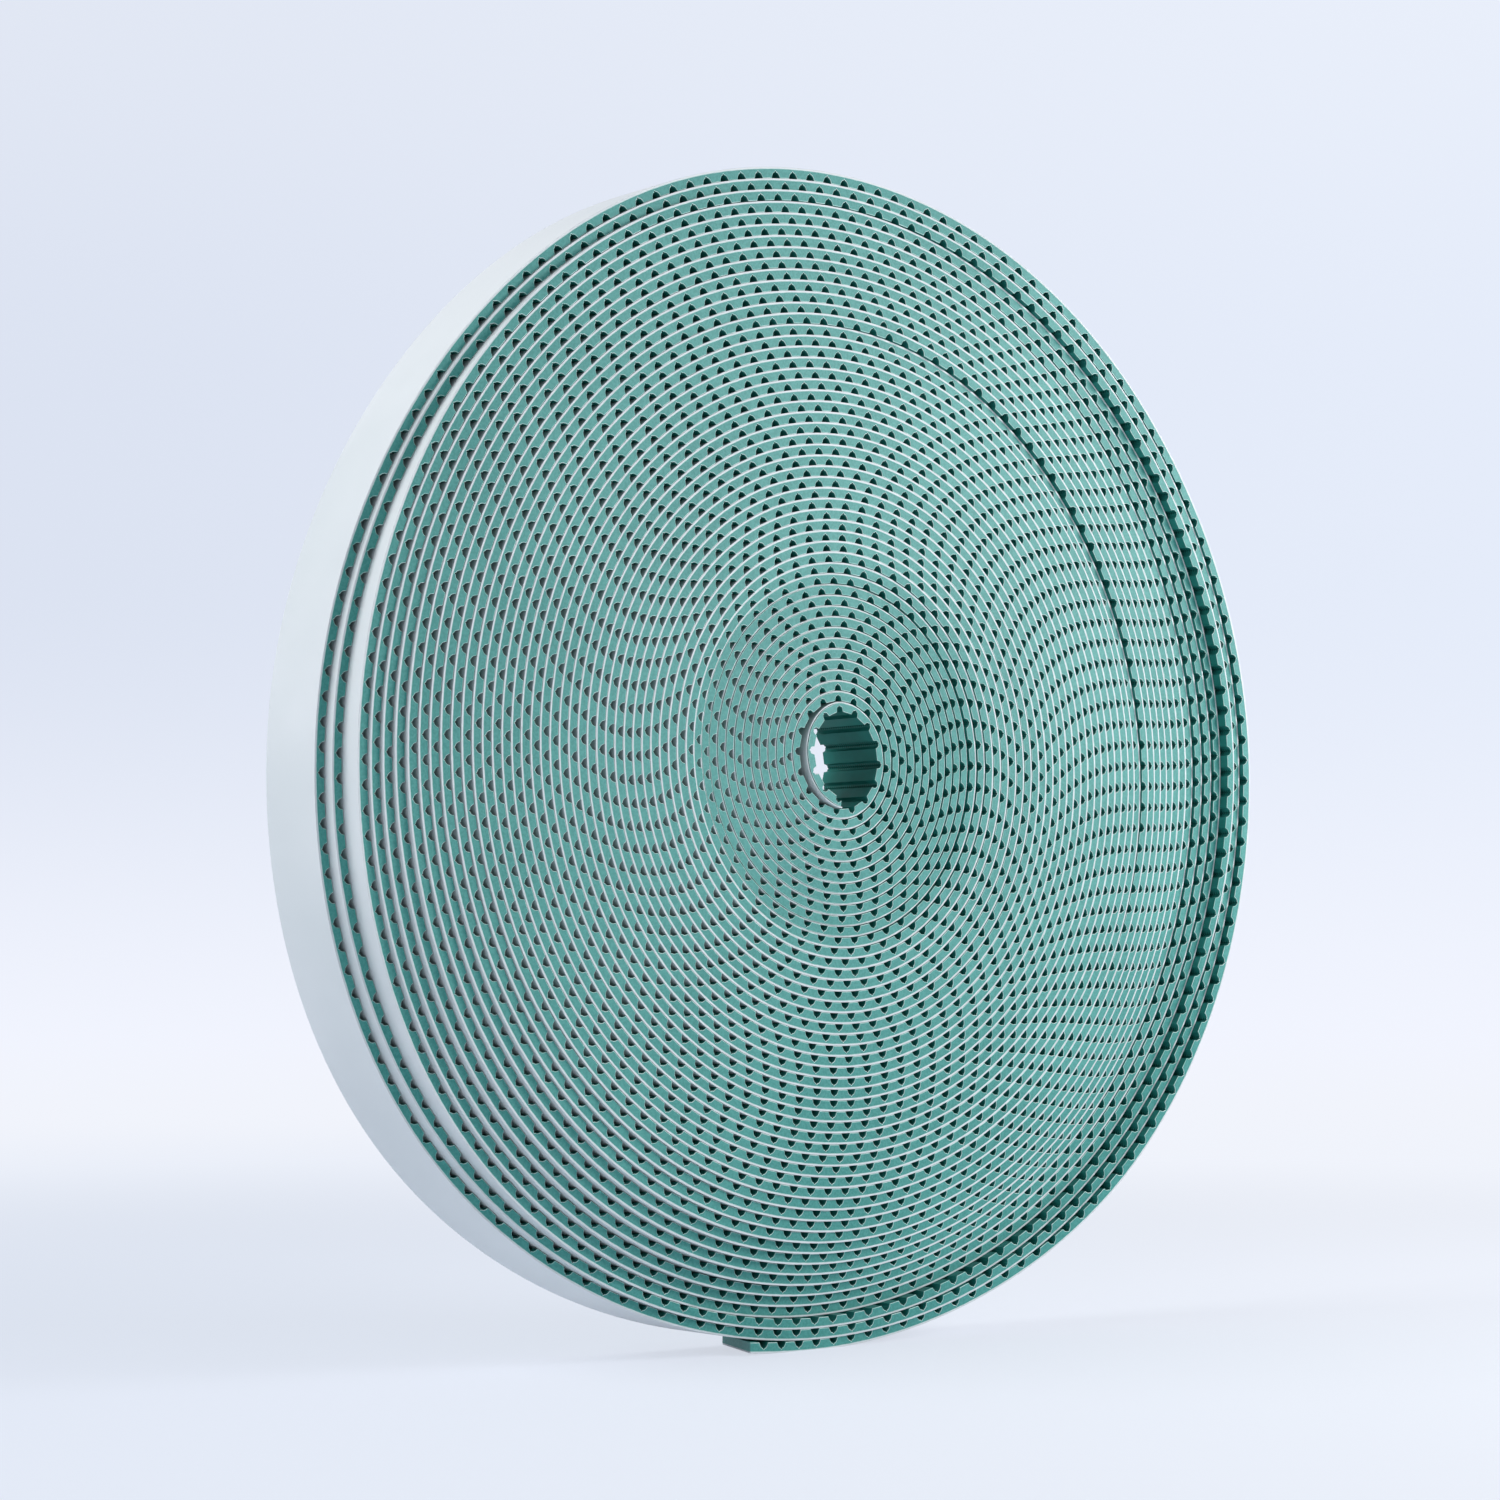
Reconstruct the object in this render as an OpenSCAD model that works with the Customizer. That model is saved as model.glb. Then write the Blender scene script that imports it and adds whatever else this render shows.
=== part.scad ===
// A roll of open-ended toothed belt, wound teeth inward round an open bore and
// stood on its rim. The belt is a green body with trapezoid teeth, steel tension
// cords inside its back and a white cover over the back. Its outer turns have slid
// along the axis, back at the lower left and forward on the right.
//
// The roll is drawn face on in X and Z, with its front face looking along -Y.
// The belt crosses the upright line through the bore at a bottom, a top, the next
// bottom and so on, a little further out each time. A half ring joins each crossing
// to the next: even ones climb the left side, odd ones come down the right side.

/* [Belt] */
// Distance from tooth to tooth along the belt
tooth_pitch = 10; // [8:0.5:14]
// Height of a tooth over the roots
tooth_h = 2.5; // [2:0.1:3]
// Width of a tooth across its flat tip
tooth_tip = 5; // [3:0.1:5.5]
// Lean of each flank of a tooth
flank_angle = 25; // [15:1:28]
// Green back between the tooth roots and the cover
back_t = 0.9; // [0.85:0.05:1.6]
// White cover on the back
cover_t = 0.8; // [0.7:0.05:1.2]
// Width of the belt
belt_w = 35.5; // [20:0.5:60]

/* [Tension cords] */
// Diameter of one steel cord
cord_d = 0.7; // [0.4:0.05:0.75]
// Distance between neighbouring cords
cord_step = 1.9; // [1.2:0.1:3]
// Least width of belt left beside the first and last cord
cord_edge = 1.2; // [0.8:0.1:3]

/* [Winding] */
// Height from the axis down to the first tooth tips
bore_r = 18; // [14:0.5:40]
// Number of turns
turns = 50; // [24:1:56]
// Air left between a tooth tip and the cover that it lies over
wind_gap = 0.46; // [0.44:0.01:0.8]
// Extra radius of the last turn, because the outer turns are wound looser
loosening = 4.9; // [3:0.1:8]
// Distance from the inner end of the belt to the middle of its first tooth
first_tooth = 8.15; // [4:0.05:10]
// First turns that have their teeth cut
toothed_first = 8; // [2:1:10]

/* [Lie of the roll] */
// How far the first half turn sags into the bore
first_sag = 2.6; // [0:0.1:4]
// How far the roll's weight has pressed in the bottom of the last turn
flattening = 3.3; // [0:0.1:3.3]
// How far back the innermost turns lie
core_slip = 2; // [0:0.5:4]
// Straight end of the belt, which lies along the ground
tail_len = 37; // [30:1:60]
// How much shorter the back edge of that end is than its front edge
tail_skew = 12; // [0:1:16]
// Stretch of the last turn that belongs to the tail, as an angle
tail_arc = 9; // [6:0.5:14]
// Depth of the flat on which the roll stands
foot_cut = 0.5; // [0.3:0.05:0.55]

/* [Hidden] */
$fn = 360;

// Slip of the outer turns along the axis, positive backward. Each row names a turn
// and gives its slip at the bottom, lower left, left, upper left, top, upper right,
// right and lower right. A turn between two rows has values in proportion.
slips = [
  [33, 0, 0, 0, 0, 0, 0, 0, 0],
  [35, 0.5, 0, 0, 0, 1.5, 4.5, 1.5, 0],
  [37, 1.5, 0.5, 0, 0, 1.5, 2.5, 1, 1],
  [40, 5, 4, 1, 0, 2, 3.5, 2.5, 4],
  [43, 13, 11, 2.5, 0, 3, 4, 3, 9],
  [46, 22.5, 20.5, 6.5, 0, 3, 1.5, -2, 8],
  [47, 24, 23.5, 8, 0, 2.5, -2, -6.5, 5],
  [48, 19, 31.5, 16, 3.5, 3, -2.5, -5.5, 2],
  [49, 19, 37.5, 23, 5, 3, -3, -8, -1.5],
  [50, 19, 37.5, 23, 5, 3, -3, -8, -1.5]
];
drawn_turns = slips[len(slips) - 1][0];
sliding = drawn_turns - slips[0][0] - 1;
toothed_last = 4;
core_turns = 12;

// How steeply the loosening and the flattening grow towards the last turn
loosening_rise = 3.5;
flattening_rise = 4;
crossing_step = 0.01;

// Hair's breadths: by which the first half ring ends inside the next one, and by
// which every other quarter of a slipped ring lies further back
first_step = 0.06;
quarter_step = 0.1;

body_t = tooth_h + back_t;
belt_t = body_t + cover_t;
lay = belt_t + wind_gap;
last_ring = 2 * turns - 1;
core_rings = min(2 * core_turns, 2 * (turns - sliding));
first_sliding_ring = 2 * (turns - sliding);
first_toothed_ring = 2 * (turns - toothed_last);
tail_z = -crossing(last_ring + 1);
tail_slip = slip(4 * last_ring + 4);
floor_z = tail_z - belt_t + foot_cut;

// The belt keeps its length along the middle of its cords
pitch_line = tooth_h + back_t / 2;
root_half = tooth_tip / 2 + tooth_h * tan(flank_angle);
cut_past = 0.3;
mouth_half = tooth_tip / 2 - cut_past * tan(flank_angle);
cords = floor((belt_w - 2 * cord_edge - cord_d) / cord_step) + 1;
cord_first = (belt_w - (cords - 1) * cord_step) / 2;

// How far cutting blocks run past what they cut
past = 5;
reach = crossing(last_ring) + belt_t + past;
least_slip = min([for (e = [0 : 8 * turns]) slip(e)]);
most_slip = max([for (e = [0 : 8 * turns]) slip(e)]);
front_y = least_slip - past;
back_y = most_slip + belt_w + past;

// The middle of the roll's outer box, which stands over the origin
mid_x = (ring_r(last_ring) - ring_r(last_ring - 1)) / 2;
mid_y = (least_slip + most_slip + belt_w) / 2;

green = [0.27, 0.6, 0.56];
white = [0.93, 0.94, 0.94];
steel = [0.62, 0.64, 0.66];

// ---- the spiral ----

// Height over or under the axis at which the tooth tips cross the upright line for
// the i-th time, at a bottom for an even i and at a top for an odd one. It is a whole
// number of steps, so that one half ring ends exactly where the next begins.
function crossing(i) = crossing_step * round((
    bore_r + i * lay / 2
    + loosening * pow(i / 2 / turns, loosening_rise)
    - (i % 2 == 0 ? flattening * pow(i / 2 / turns, flattening_rise) : 0)
  ) / crossing_step);

// The first half ring is flatter than a half circle, so its centre lies to the right
first_half = (crossing(0) + crossing(1)) / 2;
first_side = first_half - first_sag;
sag_x = (first_half * first_half - first_side * first_side) / 2 / first_side;

function ring_r(j) =
  j == 0 ? sag_x + first_side - first_step : (crossing(j) + crossing(j + 1)) / 2;
function ring_centre(j) =
  [j == 0 ? sag_x : 0, (j % 2 == 0 ? 1 : -1) * (crossing(j + 1) - crossing(j)) / 2];

// Angle at which half ring j starts and, taken from a half turn, at which it ends
function ring_start(j) = j == 0 ? asin(sag_x / ring_r(0)) : 0;

// Length of half ring j along the cords, and of the belt wound before it
function ring_length(j) = (ring_r(j) + pitch_line) * (180 - 2 * ring_start(j)) * PI / 180;
wound = [for (j = 0, s = 0; j <= last_ring + 1; s = s + ring_length(j), j = j + 1) s];
function angle_at(j, s) = ring_start(j) + (s - wound[j]) / (ring_r(j) + pitch_line) * 180 / PI;

// The way out from the centre, and the way along the belt, at angle a of half ring j
function outward(j, a) = j % 2 == 0 ? [-sin(a), -cos(a)] : [sin(a), cos(a)];
function along(j, a) = j % 2 == 0 ? [-cos(a), sin(a)] : [cos(a), -sin(a)];

// A point of half ring j, h over the tooth tips and w further along
function ring_point(j, a, h, w = 0) =
  ring_centre(j) + outward(j, a) * (ring_r(j) + h) + along(j, a) * w;

// A point of the belt at length s, on half ring j or, past the last one, on the tail
function belt_point(j, s, h, w = 0) =
  j > last_ring
    ? [wound[last_ring + 1] - s - w, tail_z - h]
    : ring_point(j, angle_at(j, s), h, w);

// The half ring that holds the point at length s, given one next to it
function ring_near(j, s) =
  j > 0 && s < wound[j] ? j - 1 : j <= last_ring && s > wound[j + 1] ? j + 1 : j;

// The middle of tooth i along the belt, and the tooth whose gap lies at length s
function tooth_at(i) = first_tooth + i * tooth_pitch;
function tooth_before(s) = floor((s - first_tooth) / tooth_pitch);

// ---- the slip ----

// How far back the belt lies after e eighths of a turn
function slip(e) =
  e < 4 * first_sliding_ring ? 0
  : lookup(floor(e / 8) + drawn_turns - turns, [for (row = slips) [row[0], row[1 + e % 8]]]);

// A quarter of a ring lies between two slanted planes. In its front plane the slip
// is right at both ends and in the middle: this is the slip over the ring's centre,
// and after it the slopes along X and Z.
function quarter_plane(q) =
  let (
    j = floor(q / 2),
    a = 90 * (q % 2),
    start = slip(2 * q),
    end = slip(2 * q + 2),
    over_centre = ((start + end) / sqrt(2) - slip(2 * q + 1)) / (sqrt(2) - 1),
    slope = (outward(j, a) * (start - over_centre) + outward(j, a + 90) * (end - over_centre))
      / (ring_r(j) + belt_t)
  )
  [over_centre, slope[0], slope[1]];

// ---- least gap of the belt to itself, measured on points ----

gap_steps = 12;
least_gap_kept = 0.4;
ring_gaps = [
  for (j = [0 : last_ring - 2], n = [0 : gap_steps])
    let (a = ring_start(j) + n / gap_steps * (180 - 2 * ring_start(j)))
      ring_r(j + 2) - norm(ring_point(j, a, belt_t) - ring_centre(j + 2))
];
tail_gaps = [for (a = [0 : gap_steps]) ring_point(last_ring - 1, a, belt_t)[1] - tail_z];
least_gap = min(concat(ring_gaps, tail_gaps));
echo(least_gap = least_gap);
echo(belt_length = wound[last_ring + 1] + tail_len);
assert(least_gap > least_gap_kept, "the turns must keep 0.4 mm apart");

// ---- building blocks ----

// Face of half ring j between two heights over the tooth tips
module ring_face(j, h0, h1) {
  r = ring_r(j) + h1;
  intersection() {
    translate(ring_centre(j)) difference() {
      circle(r);
      circle(ring_r(j) + h0);
    }
    translate([j % 2 == 0 ? -r - past : 0, -r - past]) square([r + past, 2 * (r + past)]);
  }
}

// The space between tooth i and the next one, cut from below the tips
module tooth_gap(j, i) {
  here = tooth_at(i);
  next = tooth_at(i + 1);
  k = ring_near(j, (here + next) / 2);
  polygon([
    belt_point(k, here, tooth_h, root_half),
    belt_point(k, next, tooth_h, -root_half),
    belt_point(k, next, -cut_past, -mouth_half),
    belt_point(k, here, -cut_past, mouth_half)
  ]);
}

module toothed_face(j) {
  difference() {
    ring_face(j, 0, body_t);
    for (i = [tooth_before(wound[j]) - 1 : tooth_before(wound[j + 1])]) tooth_gap(j, i);
  }
}

// Stands a face up and gives it a depth from y0 to y1
module upright(y0, y1) {
  translate([0, y1, -floor_z]) rotate([90, 0, 0]) linear_extrude(y1 - y0) children();
}

module unslipped(y = 0) {
  upright(y, y + belt_w) children();
}

// The quarter of the plane round its ring's centre in which quarter q lies
module quadrant(q) {
  translate(ring_centre(floor(q / 2)))
    translate([q % 4 < 2 ? -reach : 0, q % 4 == 0 || q % 4 == 3 ? -reach : 0]) square(reach);
}

// The slab between the slanted planes of quarter q
module quarter_slab(q) {
  plane = quarter_plane(q);
  centre = ring_centre(floor(q / 2));
  steep = norm([plane[1], 1, plane[2]]);
  translate([centre[0], plane[0] + quarter_step * (q % 2), centre[1] - floor_z])
    rotate([-asin(plane[2] / steep), 0, atan(plane[1])])
      translate([-2 * reach, 0, -2 * reach]) cube([4 * reach, belt_w / steep, 4 * reach]);
}

// A face as wide as the belt, cut to quarter q and slipped along the axis
module slipped_quarter(q) {
  intersection() {
    upright(front_y, back_y) intersection() {
      children();
      quadrant(q);
    }
    quarter_slab(q);
  }
}

module slipped(j) {
  for (q = [2 * j, 2 * j + 1]) slipped_quarter(q) children();
}

// The wedge that the tail takes from the last half ring
module tail_wedge() {
  wedge_r = reach + past;
  translate(ring_centre(last_ring))
    polygon([[0, 0], wedge_r * [sin(tail_arc), -cos(tail_arc)], [0, -wedge_r]]);
}

// What the slanted cut takes from the end of the tail
module tail_cut() {
  end_x = -tail_len;
  end_y = tail_slip;
  translate([0, 0, -past]) linear_extrude(belt_t + 2 * past) polygon([
    [end_x - past, end_y - past],
    [end_x - tail_skew * past / belt_w, end_y - past],
    [end_x + tail_skew * (1 + past / belt_w), end_y + belt_w + past],
    [end_x - past, end_y + belt_w + past]
  ]);
}

module centred() {
  translate([-mid_x, -mid_y, 0]) children();
}

module foot() {
  translate([-reach, front_y, -reach]) cube([2 * reach, back_y - front_y, reach]);
}

// ---- the belt body, stretch by stretch ----

module belt_turn(k) {
  color(green) for (j = [2 * k, 2 * k + 1]) slipped(j) difference() {
    toothed_face(j);
    if (j == last_ring) tail_wedge();
  }
}

module belt_first_turns() {
  color(green) unslipped(core_slip)
    for (j = [0 : 2 * toothed_first - 1]) toothed_face(j);
}

module belt_middle_turns() {
  color(green) {
    unslipped(core_slip) for (j = [2 * toothed_first : core_rings - 1]) ring_face(j, 0, body_t);
    unslipped() for (j = [core_rings : first_sliding_ring - 1]) ring_face(j, 0, body_t);
  }
}

module belt_sliding_turns() {
  color(green) for (j = [first_sliding_ring : first_toothed_ring - 1])
    slipped(j) ring_face(j, 0, body_t);
}

module cord_path() {
  for (n = [0 : cords - 1])
    translate([0, tail_slip + cord_first + n * cord_step, tail_z - pitch_line - floor_z])
      rotate([0, -90, 0]) cylinder(h = tail_len, d = cord_d, $fn = 24);
}

// The straight end and the wedge of the last half ring that leads into it
module tail_layer(h0, h1) {
  wedge_from = wound[last_ring + 1] - ring_length(last_ring) * tail_arc / 180;
  unslipped(tail_slip) difference() {
    translate([-tail_len, tail_z - h1]) square([tail_len, h1 - h0]);
    for (i = [tooth_before(wound[last_ring + 1]) - 1
              : tooth_before(wound[last_ring + 1] + tail_len)]) tooth_gap(last_ring + 1, i);
  }
  slipped_quarter(2 * last_ring + 1) difference() {
    intersection() {
      ring_face(last_ring, h0, h1);
      tail_wedge();
    }
    for (i = [tooth_before(wedge_from) - 1 : tooth_before(wound[last_ring + 1])])
      tooth_gap(last_ring, i);
  }
}

module belt_tail() {
  color(green) difference() {
    tail_layer(0, body_t);
    cord_path();
    tail_cut();
  }
}

// ---- the cover and the cords ----

module cover_wound() {
  color(white) difference() {
    union() {
      unslipped(core_slip) for (j = [0 : core_rings - 1]) ring_face(j, body_t, belt_t);
      unslipped() for (j = [core_rings : first_sliding_ring - 1]) ring_face(j, body_t, belt_t);
      for (j = [first_sliding_ring : last_ring]) slipped(j) difference() {
        ring_face(j, body_t, belt_t);
        if (j == last_ring) tail_wedge();
      }
    }
    foot();
  }
}

module cover_tail() {
  color(white) difference() {
    tail_layer(body_t, belt_t);
    tail_cut();
    foot();
  }
}

module cords_tail() {
  color(steel) difference() {
    cord_path();
    tail_cut();
  }
}

centred() belt_first_turns();
centred() belt_middle_turns();
centred() belt_sliding_turns();
centred() belt_turn(turns - 4);  // belt_turn_4th_from_last
centred() belt_turn(turns - 3);  // belt_turn_3rd_from_last
centred() belt_turn(turns - 2);  // belt_turn_2nd_from_last
centred() belt_turn(turns - 1);  // belt_turn_last
centred() belt_tail();
centred() cover_wound();
centred() cover_tail();
centred() cords_tail();
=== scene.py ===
# %% [markdown]
# # A roll of toothed belt
#
# The object is one long belt for a timing drive or a conveyor, sold by the roll.
# It has a green body with trapezoid teeth on one side, a thin white cover on
# the other side and steel cords between them. It is wound teeth inward round an
# open bore and stands on its rim.
#
# The imported CAD model is loaded first, as a frame. Each piece made below
# takes the place of one or more of its nodes.

# %% Load the frame
import math

import bpy
import numpy as np
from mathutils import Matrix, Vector


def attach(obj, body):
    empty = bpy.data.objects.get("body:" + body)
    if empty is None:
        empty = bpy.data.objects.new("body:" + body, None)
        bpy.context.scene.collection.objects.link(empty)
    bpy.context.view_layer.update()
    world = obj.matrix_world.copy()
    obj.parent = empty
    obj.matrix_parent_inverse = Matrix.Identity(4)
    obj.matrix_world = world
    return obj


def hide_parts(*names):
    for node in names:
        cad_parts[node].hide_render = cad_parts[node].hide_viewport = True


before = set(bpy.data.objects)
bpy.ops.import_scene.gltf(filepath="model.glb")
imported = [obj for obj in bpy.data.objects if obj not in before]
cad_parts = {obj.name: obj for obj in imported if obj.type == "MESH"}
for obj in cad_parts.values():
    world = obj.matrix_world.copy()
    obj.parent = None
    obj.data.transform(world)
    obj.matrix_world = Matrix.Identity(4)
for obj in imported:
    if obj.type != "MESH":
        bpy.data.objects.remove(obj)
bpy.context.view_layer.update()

MM = 0.001
print("nodes of the frame:", ", ".join(sorted(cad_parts)))

# %% [markdown]
# ## The camera
#
# A long lens from the left of the roll keeps its circles nearly true ellipses.
# The camera stands a little under a metre and a half away, lower than the
# middle of the roll, and looks slightly up. Its place is given from the axis of
# the roll, level with the front of the unslipped turns. Where that axis lies in
# the room follows from the spiral, so the camera is set up there, further down.

# %% Describe the camera
PICTURE = 1500
LENS_IN_PIXELS = 3179
FROM_AXIS = (-920.9, -1026.2, -88.1)
LOOKS_RIGHT = math.radians(40.21)
LOOKS_UP = math.radians(3.79)

camera_data = bpy.data.cameras.new("camera")
camera_data.sensor_width = 36
camera_data.lens = camera_data.sensor_width * LENS_IN_PIXELS / PICTURE
camera_data.clip_end = 200
print("lens", round(camera_data.lens, 1), "mm")

# %% [markdown]
# ## One class for shader maths
#
# A procedural material is a sum of patterns. Written as nodes it is hard to
# read, so this class wraps one output of a node and lets Python's own signs
# add the Math nodes. The reflected forms are there so that a number may come
# first, as in `1 - mask`. The method `node` makes every other kind.

# %% Wrap the nodes of a material
class Wire:
    """One value on its way through the nodes of a material or a world."""

    def __init__(self, tree, socket=None):
        self.tree = tree
        self.socket = socket

    def node(self, kind, settings=None, sockets=None, output=0):
        """A new node with its settings and sockets filled in, and one of its outputs."""
        made = self.tree.nodes.new("ShaderNode" + kind)
        for name, value in (settings or {}).items():
            setattr(made, name, value)
        for name, value in (sockets or {}).items():
            if isinstance(value, Wire):
                self.tree.links.new(value.socket, made.inputs[name])
            else:
                made.inputs[name].default_value = value
        return Wire(self.tree, made.outputs[output] if made.outputs else None)

    def math(self, operation, first, second=0.0):
        return self.node("Math", {"operation": operation}, {0: first, 1: second})

    def __add__(self, other):
        return self.math("ADD", self, other)

    def __mul__(self, other):
        return self.math("MULTIPLY", self, other)

    def __rsub__(self, other):
        return self.math("SUBTRACT", other, self)

    __radd__ = __add__
    __rmul__ = __mul__

    def between(self, low, high):
        """0 below low, 1 over high and a smooth rise from one to the other."""
        return self.node(
            "MapRange",
            {"interpolation_type": "SMOOTHSTEP"},
            {"Value": self, "From Min": low, "From Max": high},
        )

    def colours(self, first, second):
        """The first colour where this value is 0, the second where it is 1."""
        return self.node(
            "Mix",
            {"data_type": "RGBA"},
            {"Factor": self, 6: first, 7: second},
            output=2,
        )


def tone(red, green, blue):
    """A colour given as it looks on a screen, 0 to 255, as the shader wants it."""
    return tuple(((v / 255 + 0.055) / 1.055) ** 2.4 for v in (red, green, blue)) + (1,)


def new_material(name):
    """An empty material, and a wire on which its nodes start."""
    material = bpy.data.materials.new(name)
    material.use_nodes = True
    material.node_tree.nodes.clear()
    return material, Wire(material.node_tree)


def finish_surface(wire, sockets, settings=None):
    """Ends a material in a Principled shader."""
    shader = wire.node("BsdfPrincipled", settings, sockets)
    wire.node("OutputMaterial", None, {"Surface": shader})


print("a mid green is", [round(v, 3) for v in tone(80, 155, 145)])

# %% [markdown]
# ## Moulded and cut polyurethane
#
# Polyurethane comes out of its mould dark and slightly glossy. Where the belt
# was slit to width the blade left a paler, matt face with fine marks. Along its
# sharp edge round each tooth and at the back, a narrow strip is coloured pale as
# a painted highlight. In the mould the cords lie on a row of small nibs, and these
# leave a row of small pits in the root of every groove, set at an even pitch
# across the belt. The pits are not modelled; their shade is painted as dark
# stripes across the groove. The four finishes are separate materials, so each
# face of the mesh simply names its own.

# %% Mix the greens
NIB_PITCH = 0.0014


def cut_green():
    material, wire = new_material("green_cut_face")
    place = wire.node("TexCoord", output=3)
    marks = wire.node("TexNoise", None, {"Vector": place, "Scale": 900.0, "Detail": 2.0})
    cloud = wire.node("TexNoise", None, {"Vector": place, "Scale": 14.0, "Detail": 2.0})
    shade = 0.5 * marks.between(0.35, 0.65) + 0.5 * cloud.between(0.3, 0.7)
    colour = shade.colours(tone(51, 136, 129), tone(77, 158, 150))
    bump = wire.node("Bump", None, {"Strength": 0.25, "Distance": 0.0001, "Height": marks})
    finish_surface(
        wire,
        {"Base Color": colour, "Roughness": 0.5, "Specular IOR Level": 0.38, "Normal": bump},
    )
    return material


def edge_highlight_green():
    material, wire = new_material("green_slit_edge_painted_highlight")
    place = wire.node("TexCoord", output=3)
    highlight_noise = wire.node("TexNoise", None, {"Vector": place, "Scale": 260.0, "Detail": 1.0})
    # the pale tones are a painted highlight on the slit edge, varied at random
    colour = highlight_noise.between(0.3, 0.7).colours(tone(158, 210, 200), tone(204, 232, 226))
    finish_surface(wire, {"Base Color": colour, "Roughness": 0.45})
    return material


def moulded_green(name, nibs):
    material, wire = new_material(name)
    place = wire.node("TexCoord", output=3)
    flow = wire.node("TexNoise", None, {"Vector": place, "Scale": 60.0, "Detail": 3.0})
    colour = flow.between(0.3, 0.7).colours(tone(30, 112, 103), tone(44, 131, 122))
    if nibs:
        across = wire.node("SeparateXYZ", None, {0: place}, output=1)
        # painted shade of the nib pits: dark stripes at the nib pitch across the belt
        pit_shade_stripes = wire.math("SINE", 2 * math.pi / NIB_PITCH * across)
        colour = pit_shade_stripes.between(-0.1, 0.7).colours(colour, tone(20, 86, 78))
    rough = 0.42 + 0.12 * flow.between(0.2, 0.8)
    finish_surface(
        wire, {"Base Color": colour, "Roughness": rough, "Specular IOR Level": 0.18}
    )
    return material


GREEN = [
    cut_green(),
    edge_highlight_green(),
    moulded_green("green_moulded", nibs=False),
    moulded_green("green_groove_painted_pit_shade", nibs=True),
]
CUT, EDGE, MOULDED, GROOVE = range(4)
print("green finishes:", [m.name for m in GREEN])

# %% [markdown]
# ## White cover and steel cord
#
# The cover is a soft white sheet. Seen flat it is almost even, so it gets only
# a faint cloudiness and a fine grain. The cords show as small bright ends.

# %% White of the cover and steel of the cords
def cover_white():
    material, wire = new_material("white_cover")
    place = wire.node("TexCoord", output=3)
    cloud = wire.node("TexNoise", None, {"Vector": place, "Scale": 9.0, "Detail": 3.0})
    grain = wire.node("TexNoise", None, {"Vector": place, "Scale": 1400.0, "Detail": 1.0})
    colour = cloud.between(0.3, 0.7).colours(tone(212, 219, 221), tone(224, 229, 231))
    bump = wire.node("Bump", None, {"Strength": 0.12, "Distance": 0.0001, "Height": grain})
    finish_surface(wire, {"Base Color": colour, "Roughness": 0.48, "Normal": bump})
    return material


def cord_steel():
    material, wire = new_material("steel_cord")
    place = wire.node("TexCoord", output=3)
    strand = wire.node("TexNoise", None, {"Vector": place, "Scale": 4000.0, "Detail": 1.0})
    colour = strand.between(0.4, 0.6).colours(tone(120, 124, 128), tone(196, 200, 204))
    finish_surface(wire, {"Base Color": colour, "Roughness": 0.35, "Metallic": 1.0})
    return material


WHITE = [cover_white()]
STEEL = [cord_steel()]
print("other finishes:", WHITE[0].name, "and", STEEL[0].name)

# %% [markdown]
# ## The spiral
#
# The belt crosses the upright line through the bore at a bottom, a top, the
# next bottom and so on, a little further out each time. The outer turns are
# wound looser, and the roll's weight has pressed its bottom in a little. A half
# ring joins each crossing to the next, as in the CAD model: even ones climb the
# left side, odd ones come down the right side. Only the first one sags into the
# bore. The rule is written for whole arrays of lengths along the belt, so that
# thousands of teeth are placed at once. Past the last half ring the belt runs
# on straight, as the tail on the ground.
#
# Lengths are in millimetres here and wherever the belt's own measures are used.
# The belt keeps its length along the cords, on the pitch line.

# %% Work out the half rings
TOOTH_PITCH = 10
FIRST_TOOTH = 8.15
BODY_T = 3.55
BELT_T = 4.2
BELT_W = 35.5
PITCH_LINE = 2.95
BORE_R = 18
LAY = 4.66
LOOSENING, LOOSENING_RISE = 4.9, 3.5
FLATTENING, FLATTENING_RISE = 3.3, 4
FIRST_SAG = 2.6
TURNS = 50
TAIL_LEN = 37
TAIL_SKEW = 14
TAIL_LIFT = 1.6
TAIL_ROLL = -0.45
FOOT_CUT = 0.5

RINGS = 2 * TURNS
crossing_number = np.arange(RINGS + 1)
turned = crossing_number / 2
part_wound = turned / TURNS
crossing = BORE_R + turned * LAY + LOOSENING * part_wound**LOOSENING_RISE
crossing -= np.where(crossing_number % 2 == 0, FLATTENING * part_wound**FLATTENING_RISE, 0)
crossing = np.round(crossing, 2)

ring_r = (crossing[:-1] + crossing[1:]) / 2
ring_z = np.diff(crossing) / 2 * np.where(crossing_number[:-1] % 2 == 0, 1, -1)
ring_x = np.zeros(RINGS)
ring_start = np.zeros(RINGS)
side_r = ring_r[0] - FIRST_SAG
ring_x[0] = (ring_r[0] ** 2 - side_r**2) / 2 / side_r
ring_r[0] = ring_x[0] + side_r
ring_start[0] = math.asin(ring_x[0] / ring_r[0])
wound = np.concatenate([[0], np.cumsum((ring_r + PITCH_LINE) * (math.pi - 2 * ring_start))])
TAIL_Z = -crossing[RINGS]
FLOOR_Z = TAIL_Z - BELT_T + FOOT_CUT
TAIL_END = wound[RINGS] + TAIL_LEN

print("length of belt", round(TAIL_END), "mm in", TURNS, "turns")


def ring_at(s):
    """The half ring at each length s, and the angle reached on it."""
    ring = np.clip(np.searchsorted(wound, s, "right") - 1, 0, RINGS - 1)
    return ring, ring_start[ring] + (s - wound[ring]) / (ring_r[ring] + PITCH_LINE)


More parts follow.
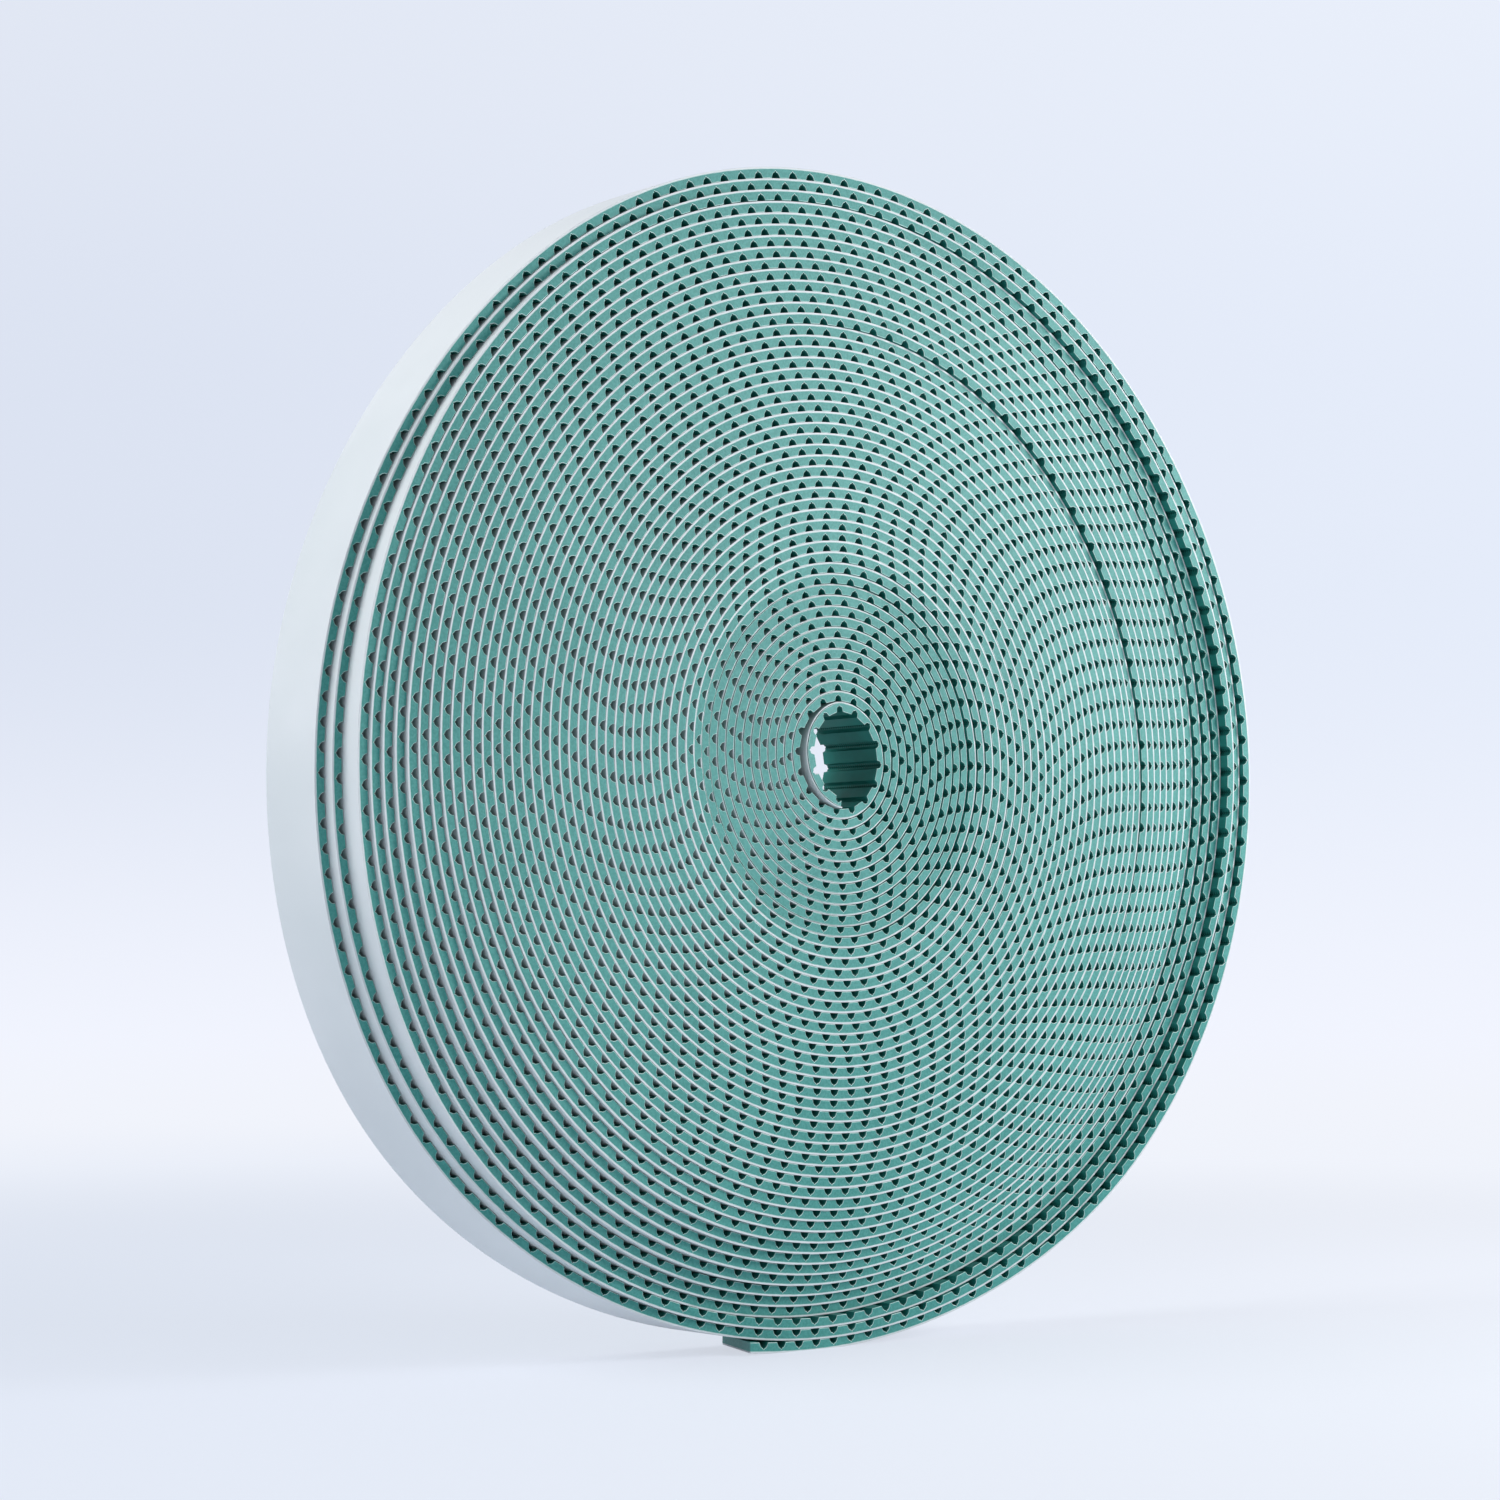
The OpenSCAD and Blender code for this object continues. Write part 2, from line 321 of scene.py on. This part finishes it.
def spiral(s):
    """Tooth-tip point, way out and way along of the belt at each length s, as X and Z."""
    ring, angle = ring_at(s)
    side = np.where(ring % 2 == 0, -1.0, 1.0)
    out = np.stack([side * np.sin(angle), side * np.cos(angle)], -1)
    along = np.stack([side * np.cos(angle), -side * np.sin(angle)], -1)
    point = out * ring_r[ring][:, None] + np.stack([ring_x[ring], ring_z[ring]], -1)
    straight = s > wound[RINGS]
    out[straight] = (0, -1)
    along[straight] = (-1, 0)
    point[straight] = np.stack([wound[RINGS] - s, np.full_like(s, TAIL_Z)], -1)[straight]
    return point, out, along


# %% [markdown]
# ## How the turns have slipped
#
# A roll that is carried about goes out of true: its outer turns slide along the
# axis. Here they lie back at the lower left, most of all the last two, and the
# last three stand forward on the right. A few turns are described at eight
# places each, the turns between them have values in proportion, and a smooth
# curve round the spiral gives the slip at any length.

# %% Slip of the turns along the axis
# turn: bottom, lower left, left, upper left, top, upper right, right, lower right
SLIPS = {
    0: (0, 0, 0.5, 1.5, 2, 2, 2, 2),
    1: (2, 2, 2, 2, 2, 2, 2, 2),
    11: (2, 2, 2, 2, 2, 2, 2, 2),
    14: (0, 0, 0, 0, 0, 0, 0, 0),
    20: (0, 0, 0, 0, 0, 0, -1.5, -1.8),
    28: (0, 0, 0, 0, 0, 1, -0.8, -1.5),
    33: (0, 0, 0, 0, 0.3, 1.8, 0, -0.5),
    35: (0.5, 0, 0, 0, 1.5, 4.5, 1.5, 0),
    36: (0.5, 0, 0, 0, 0.5, 2, 0.5, 0.5),
    37: (1.5, 0.5, 0, 0, 1.5, 2.5, 1, 1),
    40: (5, 4, 1, 0, 2, 3.5, 2.5, 4),
    43: (13, 11, 2.5, 0, 3, 4, 3, 9),
    46: (22.5, 20.5, 6.5, 0, 3, 1.5, -2, 8),
    47: (24, 23.5, 7.7, 0, 2.5, -2, -6.5, 5),
    48: (19, 31.5, 18.2, 3.5, 3, -2.5, -5.5, 2),
    49: (19, 37.5, 23, 5, 3, -3, -8, -1.5),
    50: (19, 37.5, 23, 5, 3, -3, -8, -1.5),
}
PLACES = 8


def every_place(table):
    """Values at all the places of all the turns, from a table of a few turns."""
    drawn = np.array(list(table.values()), dtype=float)
    columns = [np.interp(np.arange(TURNS + 1), list(table), drawn[:, n]) for n in range(PLACES)]
    return np.stack(columns, -1).ravel()[: TURNS * PLACES + 1]


def place_at(s):
    """Length s as a count of places from the start of the belt."""
    ring, angle = ring_at(s)
    on_ring = (angle - ring_start[ring]) / (math.pi - 2 * ring_start[ring])
    return (ring + np.clip(on_ring, 0, 1)) * PLACES / 2


place_slip = every_place(SLIPS)
place_rise = np.gradient(place_slip)
place_rise[-1] = 0


def slip(s):
    """How far back the belt lies at length s, by a cubic from place to place."""
    place = place_at(s)
    k = np.clip(place.astype(int), 0, len(place_slip) - 2)
    t = place - k
    a, b, c, d = place_slip[k], place_rise[k], place_slip[k + 1], place_rise[k + 1]
    return (
        a * (1 + 2 * t) * (1 - t) ** 2
        + b * t * (1 - t) ** 2
        + c * t * t * (3 - 2 * t)
        - d * t * t * (1 - t)
    )


print("slip runs from", place_slip.min(), "to", place_slip.max(), "mm")

# %% [markdown]
# ## How tightly the turns lie
#
# The CAD model keeps a clear gap under every tooth, so that its turns are
# separate. On a real roll the teeth all but touch the cover that they lie on,
# most of all at the top, where the weight hangs, and least at the lower left and
# in the first turns, on their right. Here and there one turn lies looser than
# its neighbours. A small table gives the air that is left at the same eight
# places, and the belt is made thicker by the rest.

# %% Air left under the teeth
# turn: bottom, lower left, left, upper left, top, upper right, right, lower right
AIR = {
    0: (0.12, 0.12, 0.08, 0.08, 0.12, 0.32, 0.46, 0.4),
    12: (0.12, 0.12, 0.08, 0.08, 0.12, 0.32, 0.46, 0.4),
    14: (0.1, 0.12, 0.12, 0.08, 0.06, 0.08, 0.12, 0.12),
    34: (0.1, 0.2, 0.16, 0.08, 0.06, 0.08, 0.12, 0.14),
    40: (0.14, 0.3, 0.2, 0.08, 0.06, 0.08, 0.12, 0.18),
    41: (0.14, 0.3, 0.2, 0.14, 0.2, 0.24, 0.12, 0.18),
    42: (0.14, 0.34, 0.2, 0.08, 0.06, 0.08, 0.12, 0.18),
    44: (0.14, 0.36, 0.22, 0.08, 0.06, 0.08, 0.12, 0.18),
    45: (0.4, 0.46, 0.22, 0.08, 0.06, 0.08, 0.12, 0.24),
    46: (0.14, 0.38, 0.22, 0.08, 0.06, 0.08, 0.12, 0.18),
    47: (0.14, 0.38, 0.22, 0.2, 0.26, 0.16, 0.12, 0.18),
    48: (0.14, 0.38, 0.22, 0.08, 0.06, 0.08, 0.12, 0.18),
    50: (0.14, 0.4, 0.24, 0.08, 0.06, 0.08, 0.12, 0.18),
}
lays = crossing[2:] - crossing[:-2]
lay_at_place = np.interp(
    np.arange(TURNS * PLACES + 1), np.arange(2, RINGS + 1) * PLACES / 2, lays
)
fullness = (lay_at_place - every_place(AIR)) / BELT_T


def full_height(s, height):
    """Height over the tooth tips, in the belt that fills its gap at length s."""
    full = np.interp(place_at(s), np.arange(len(fullness)), fullness)
    return BELT_T - (BELT_T - height) * full


print("the belt is", fullness.min().round(3), "to", fullness.max().round(3), "times as thick")

# %% [markdown]
# ## From the belt's own measures to the room
#
# A point of the belt has a length s, a height h over the tooth tips and a
# depth y across the belt. This helper bends a whole array of such points onto
# the spiral. A tooth is stiff, so its points are placed from its middle and
# keep their distances. On the tail the points also rise off the ground towards
# its end, a little less at its far edge, and they shift along the belt, because
# the end is cut askew.

# %% Bend points onto the spiral
MID_X = (ring_r[RINGS - 1] - ring_r[RINGS - 2]) / 2
MID_Y = (place_slip.min() + place_slip.max() + BELT_W) / 2


def bend(anchor, offset, height, depth):
    """Points in metres, for arrays of the same shape given in millimetres."""
    on_tail = np.clip((anchor + offset - wound[RINGS]) / TAIL_LEN, 0, 1)
    offset = offset - TAIL_SKEW * on_tail * depth / BELT_W
    point, out, along = spiral(anchor.ravel())
    lift = (TAIL_LIFT + TAIL_ROLL * depth / BELT_W) * on_tail**2
    risen = full_height(anchor.ravel(), height.ravel()) - lift.ravel()
    flat = point + out * risen[:, None] + along * offset.reshape(-1, 1)
    back = depth.ravel() + slip((anchor + offset).ravel())
    room = np.stack([flat[:, 0] - MID_X, back - MID_Y, flat[:, 1] - FLOOR_Z], -1)
    return room.reshape(anchor.shape + (3,)) * MM


print("the middle is", round(MID_X, 2), "mm from the axis and", round(MID_Y, 2), "mm from the face")

# %% [markdown]
# ## Strips and the camera
#
# Every piece is a closed strip. It has the same number of points in each
# cross-section, and a flat cap at either end, and a list may name the finish of
# each of its faces. The camera can be placed now too, because the spiral says
# where the axis of the roll lies.

# %% Make strips and place the camera
def strip_piece(name, strips, materials, finish_of_face=None):
    """Closed strips through cross-sections, as arrays of sections, points and X, Y, Z."""
    vertices, faces = [], []
    for sections in strips:
        count, points = sections.shape[:2]
        here = np.arange(count - 1)[:, None] * points + np.arange(points) + len(vertices)
        after = np.roll(here, -1, axis=1)
        faces += np.stack([here, after, after + points, here + points], -1).reshape(-1, 4).tolist()
        faces.append(here[0, ::-1].tolist())
        faces.append((here[-1] + points).tolist())
        vertices += sections.reshape(-1, 3).tolist()
    mesh = bpy.data.meshes.new(name)
    mesh.from_pydata(vertices, [], faces)
    if finish_of_face is not None:
        caps = [CUT, CUT]
        finish = np.append(finish_of_face[:-1].ravel(), caps)
        mesh.polygons.foreach_set("material_index", finish.astype(np.int32))
    for material in materials:
        mesh.materials.append(material)
    mesh.update()
    piece = bpy.data.objects.new(name, mesh)
    bpy.context.scene.collection.objects.link(piece)
    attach(piece, "root")
    return piece


camera = bpy.data.objects.new("camera", camera_data)
camera.location = (Vector(FROM_AXIS) - Vector((MID_X, MID_Y, FLOOR_Z))) * MM
camera.rotation_euler = (math.pi / 2 + LOOKS_UP, 0, -LOOKS_RIGHT)
bpy.context.scene.collection.objects.link(camera)
bpy.context.scene.camera = camera
bpy.context.scene.view_settings.view_transform = "Standard"
print("camera at", [round(v, 3) for v in camera.location])

# %% [markdown]
# ## The toothed body
#
# Side on, one pitch of the belt is a tooth with a flat tip, two flanks that
# grow steeper, and a root that rounds into a narrow groove. The groove is the
# mark of the nibs that hold the cords up in the mould. The outline is given
# once, as offsets from the middle of the tooth or of the gap, and repeated for
# every tooth. A second outline just inside it gives the narrow slit edge, and
# the back of the body has one too.

# %% The outline of one pitch
EDGE_W = 0.22
EDGE_D = 0.16
BACK_EDGE_W = 0.22
TIP = 2.6
TOOTH_LINE = [(-TIP, 0.0), (TIP, 0.0), (3.08, 1.12), (3.56, 1.72)]
GAP_LINE = [(-0.98, 2.05), (-0.42, 2.18), (-0.22, 2.54), (0.0, 2.7)]
GAP_LINE += [(-u, h) for u, h in GAP_LINE[2::-1]]
GROOVE_FROM = 2
NEXT_TOOTH_LINE = [(-u, h) for u, h in TOOTH_LINE[:1:-1]]

outline = np.array(
    TOOTH_LINE
    + [(u + TOOTH_PITCH / 2, h) for u, h in GAP_LINE]
    + [(u + TOOTH_PITCH, h) for u, h in NEXT_TOOTH_LINE]
)
anchor_of_point = np.array(
    [0.0] * len(TOOTH_LINE)
    + [TOOTH_PITCH / 2] * len(GAP_LINE)
    + [TOOTH_PITCH] * len(NEXT_TOOTH_LINE)
)


def inner_outline(line):
    """The same outline moved into the body by the width of the slit edge."""
    before = np.roll(line, 1, axis=0)
    before[0, 0] -= TOOTH_PITCH
    after = np.roll(line, -1, axis=0)
    after[-1, 0] += TOOTH_PITCH
    ways = [b - a for a, b in ((before, line), (line, after))]
    normals = [np.stack([-w[:, 1], w[:, 0]], -1) / np.linalg.norm(w, axis=1)[:, None] for w in ways]
    middle = normals[0] + normals[1]
    return line + middle * EDGE_W * 2 / (middle**2).sum(1)[:, None]


inner = inner_outline(outline)
in_groove = (outline[:, 1] > GROOVE_FROM) & (np.roll(outline[:, 1], -1) > GROOVE_FROM)
print("points in one pitch:", len(outline), "- deepest", inner[:, 1].max().round(2))

# %% [markdown]
# The back of the body is where the cover begins. The first dozen turns round the
# bore carry a slightly thinner cover, so this height depends on the length along
# the belt. One more helper then turns a run of teeth into a closed strip.

# %% Make a run of teeth
CORE_END = (11.5, 13)
CORE_THINNER = 0.1


def in_core(s):
    """1 for the turns round the bore and 0 for those outside them."""
    return np.interp(place_at(s) / PLACES, CORE_END, (1, 0))


def body_back(s):
    """Height of the back of the body over the tooth tips."""
    return BODY_T + CORE_THINNER * in_core(s)


def toothed_strip(name, first_tooth, last_tooth, skip=0, stop=1):
    """The body from one tooth up to another, with a section more, or fewer at the ends."""
    teeth = FIRST_TOOTH + np.arange(first_tooth, last_tooth + 1)[:, None] * TOOTH_PITCH
    use = slice(skip, len(outline) * (len(teeth) - 1) + stop)
    anchors = (teeth + anchor_of_point).ravel()[use]
    offsets = np.tile(outline[:, 0] - anchor_of_point, len(teeth))[use]
    insides = np.tile(inner[:, 0] - anchor_of_point, len(teeth))[use]
    tops = np.tile(outline[:, 1], len(teeth))[use]
    inside_tops = np.tile(inner[:, 1], len(teeth))[use]
    zero = np.zeros_like(anchors)
    across = anchors + offsets
    back = body_back(across)
    points = [
        (anchors, offsets, tops, zero + EDGE_D),
        (anchors, insides, inside_tops, zero),
        (across, zero, back - BACK_EDGE_W, zero),
        (across, zero, back, zero + EDGE_D),
        (across, zero, back, zero + BELT_W),
        (anchors, insides, inside_tops, zero + BELT_W),
        (anchors, offsets, tops, zero + BELT_W - EDGE_D),
    ]
    sections = np.stack([bend(*p) for p in points], axis=1)
    # finish of the face from each of these points to the next, round the section
    # EDGE faces are the slit edges, coloured as a painted highlight
    finish = np.tile([EDGE, CUT, EDGE, MOULDED, CUT, EDGE, MOULDED], (len(anchors), 1))
    # GROOVE faces carry the painted shade of the nib pits
    finish[np.tile(in_groove, len(teeth))[use], -1] = GROOVE
    return strip_piece(name, [sections], GREEN, finish)


print("the body is", body_back(np.array([0.0, wound[RINGS]])).round(2), "mm thick, first and last")

# %% [markdown]
# The strip is wound in stretches, named with the half rings where they start
# and end, so that no piece grows too heavy. Neighbours meet at the same tooth,
# and the last turns are pieces of their own, because each of them has slipped
# by itself. The belt begins in the flank of a tooth, so the first stretch leaves
# out two points of its outline. The tail ends with the last whole tooth.

# %% Wind the body, stretch by stretch
def tooth_near(ring):
    """The last tooth that has its middle before the start of a half ring."""
    return int((wound[ring] - FIRST_TOOTH) // TOOTH_PITCH)


STRETCHES = [
    ("belt_first_turns", 0, 16),
    ("belt_middle_turns_inner", 16, 46),
    ("belt_middle_turns_outer", 46, 68),
    ("belt_sliding_turns_inner", 68, 82),
    ("belt_sliding_turns_outer", 82, 92),
    ("belt_turn_4th_from_last", 92, 94),
    ("belt_turn_3rd_from_last", 94, 96),
    ("belt_turn_2nd_from_last", 96, 98),
    ("belt_turn_last", 98, 100),
]
for name, ring, end in STRETCHES:
    piece = toothed_strip(
        name + "_wound", tooth_near(ring), tooth_near(end), skip=2 if ring == 0 else 0
    )
    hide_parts(name.removesuffix("_inner").removesuffix("_outer"))
    print(name, len(piece.data.polygons), "faces")

last_tooth = int((TAIL_END - FIRST_TOOTH) // TOOTH_PITCH)
tail = toothed_strip("belt_tail_laid", tooth_near(RINGS), last_tooth, stop=2)
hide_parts("belt_tail")

# %% [markdown]
# ## The cover
#
# The cover is a separate layer on the back of the body. It has no teeth, so it
# is a smooth band with softened edges, and its sections are set closer where
# the turns are tight. Round the bore its front edge lies half a millimetre
# behind the body's, so the first turns show less white there. A short piece of
# its own covers the tail.

# %% Wind the cover
COVER_EDGE = 0.12
COVER_STEP = 0.45
CORE_SET_BACK = 0.5
TAIL_COVER = 9
SHARP_FROM = math.radians(35)


def smooth_sides(piece):
    """Shades a piece smooth, except across its sharp edges."""
    piece.data.polygons.foreach_set("use_smooth", [True] * len(piece.data.polygons))
    piece.data.set_sharp_from_angle(angle=SHARP_FROM)


def cover_strip(name, start, end):
    """The cover between two lengths along the belt."""
    stations = [start]
    while stations[-1] < end:
        radius = math.sqrt(BORE_R**2 + stations[-1] * LAY / math.pi)
        stations.append(min(end, stations[-1] + COVER_STEP * math.sqrt(radius)))
    along = np.array(stations)
    zero = np.zeros_like(along)
    back = body_back(along)
    front = CORE_SET_BACK * in_core(along)
    rows = [
        (back, front), (BELT_T - COVER_EDGE, front), (BELT_T, front + COVER_EDGE),
        (BELT_T, BELT_W - COVER_EDGE), (BELT_T - COVER_EDGE, BELT_W), (back, BELT_W),
    ]
    sections = np.stack([bend(along, zero, zero + h, zero + y) for h, y in rows], axis=1)
    piece = strip_piece(name, [sections], WHITE)
    smooth_sides(piece)
    return piece


cover = cover_strip("cover_wound_band", 0.0, wound[RINGS] - TAIL_COVER)
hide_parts("cover_wound")
cover_end = cover_strip("cover_tail_band", wound[RINGS] - TAIL_COVER, TAIL_END)
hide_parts("cover_tail")
print("cover:", len(cover.data.polygons), "faces")

# %% [markdown]
# ## The cords
#
# Steel cords run through the whole belt, and their ends show at its cut end. The
# tail lifts off the ground a little, so its cords are bent with it, each a thin
# closed strip with a round section.

# %% Lay the cords in the tail
CORD_R = 0.35
CORD_STEP = 1.9
CORDS = 18
CORD_SIDES = 12
CORD_SECTIONS = 9
CORD_END = 0.06


def cord_strip(depth):
    """One cord of the tail, at a depth across the belt."""
    along = np.linspace(wound[RINGS], TAIL_END + CORD_END, CORD_SECTIONS)[:, None]
    turn = np.linspace(0, 2 * math.pi, CORD_SIDES, endpoint=False)
    across = depth - CORD_R * np.cos(turn)
    height = PITCH_LINE + CORD_R * np.sin(turn)
    return bend(*np.broadcast_arrays(along, 0.0, height, across))


cord_depths = BELT_W / 2 + (np.arange(CORDS) - (CORDS - 1) / 2) * CORD_STEP
cords = strip_piece("cords_tail_laid", [cord_strip(d) for d in cord_depths], STEEL)
smooth_sides(cords)
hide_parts("cords_tail")
print("cords:", len(cords.data.polygons), "faces")

# %% [markdown]
# ## Floor, backdrop and light
#
# The roll stands on pale paper that curves up behind it, so no edge shows. The
# floor is one large matt sheet that fades into the backdrop, which is the world
# as the camera and the gloss see it. Most of the paper's tone is its own glow,
# for the same rays, so that the roll's shadow on it stays soft. The glow's share
# is smallest under the roll and grows to the whole further away.

# %% Lay the floor
RIGHTWARD = (math.cos(LOOKS_RIGHT), -math.sin(LOOKS_RIGHT), 0)
PAPER_GLOW = 0.97
SHADOW_SHARE = 0.28
FLOOR_HALF = 12
# metres from the roll, or along the picture's right
SHADOW_ENDS = (0.4, 1.4)
PAPER_SHADE_FADES = (0.3, 2.2)
PAPER_FADES = (1.2, 6.0)
PAPER_SHADE_SIDES = (-0.6, 0.5)


def seen_rays(wire):
    """1 for the rays of the camera, of gloss and of clear material, otherwise 0."""
    seen = [wire.node("LightPath", output=n) for n in (0, 3, 6)]
    return wire.math("MINIMUM", seen[0] + seen[1] + seen[2], 1.0)


def pale_floor():
    material, wire = new_material("paper_floor")
    place = wire.node("TexCoord", output=3)
    distance = wire.node("VectorMath", {"operation": "LENGTH"}, {0: place}, output=1)
    side = wire.node("VectorMath", {"operation": "DOT_PRODUCT"}, {0: place, 1: RIGHTWARD}, 1)
    # painted shade: the paper's tone is darker near the roll and on the left, where the roll shades
    # it from the key
    near = side.between(*PAPER_SHADE_SIDES).colours(tone(229, 236, 249), tone(242, 246, 255))
    colour = distance.between(*PAPER_SHADE_FADES).colours(near, tone(244, 247, 255))
    paper = wire.node("BsdfDiffuse", None, {"Color": colour})
    glow = wire.node("Emission", None, {"Color": colour, "Strength": PAPER_GLOW})
    glowing = 1 - SHADOW_SHARE * (1 - distance.between(*SHADOW_ENDS))
    seen = wire.node("MixShader", None, {0: seen_rays(wire) * glowing, 1: paper, 2: glow})
    gone = wire.node("BsdfTransparent")
    faded = distance.between(*PAPER_FADES)
    mixed = wire.node("MixShader", None, {0: faded, 1: seen, 2: gone})
    wire.node("OutputMaterial", None, {"Surface": mixed})
    return material


floor_mesh = bpy.data.meshes.new("floor")
floor_mesh.from_pydata(
    [(x * FLOOR_HALF, y * FLOOR_HALF, 0) for x, y in ((-1, -1), (1, -1), (1, 1), (-1, 1))],
    [],
    [(0, 1, 2, 3)],
)
floor_mesh.materials.append(pale_floor())
floor = bpy.data.objects.new("floor", floor_mesh)
bpy.context.scene.collection.objects.link(floor)
print("floor", 2 * FLOOR_HALF, "m wide, glowing at", PAPER_GLOW)

# %% [markdown]
# The light is the even light of a white studio and two soft lamps. The key
# stands at the right, near the face, and the other lamp lights the white rim
# from the left. The backdrop is palest at the horizon, where the paper curves up,
# darker above it, most of all on the left, and a little paler again at the top.

# %% Light the studio
STUDIO_LIGHT = 0.37
AIM_HEIGHT = 0.26
HORIZON_TONE = tone(242, 245, 255)
LEFT_TONE, RIGHT_TONE = tone(220, 227, 242), tone(229, 236, 250)
TOP_LIGHTER = 0.15
# parts of the way straight up, or to the picture's right
HORIZON_ENDS = (-0.048, 0.12)
TOP_BEGINS = (0.168, 0.308)
SKY_SIDES = (-0.25, 0.25)


def studio_world():
    world = bpy.data.worlds.new("studio")
    world.use_nodes = True
    world.node_tree.nodes.clear()
    wire = Wire(world.node_tree)
    way = wire.node("TexCoord", output=0)
    height = wire.node("SeparateXYZ", None, {0: way}, output=2)
    side = wire.node("VectorMath", {"operation": "DOT_PRODUCT"}, {0: way, 1: RIGHTWARD}, 1)
    sky = side.between(*SKY_SIDES).colours(LEFT_TONE, RIGHT_TONE)
    sky = height.between(*HORIZON_ENDS).colours(HORIZON_TONE, sky)
    seen = (TOP_LIGHTER * height.between(*TOP_BEGINS)).colours(sky, tone(255, 255, 255))
    even = {"Color": tone(240, 244, 252), "Strength": STUDIO_LIGHT}
    light = wire.node("Background", None, even)
    backdrop = wire.node("Background", None, {"Color": seen, "Strength": 1.0})
    mixed = wire.node("MixShader", None, {0: seen_rays(wire), 1: light, 2: backdrop})
    wire.node("OutputWorld", None, {"Surface": mixed})
    bpy.context.scene.world = world


def soft_lamp(name, at, size, power):
    """A square lamp, its size in metres and its power in watts, aimed at the roll."""
    data = bpy.data.lights.new(name, "AREA")
    data.size = size
    data.energy = power
    lamp = bpy.data.objects.new(name, data)
    lamp.location = at
    way = Vector((0, 0, AIM_HEIGHT)) - Vector(at)
    lamp.rotation_euler = way.to_track_quat("-Z", "Y").to_euler()
    bpy.context.scene.collection.objects.link(lamp)


studio_world()
soft_lamp("key", at=(0.84, -0.76, 0.57), size=0.6, power=10.2)
soft_lamp("rim", at=(-1.45, 0.35, 1.4), size=1.0, power=21)
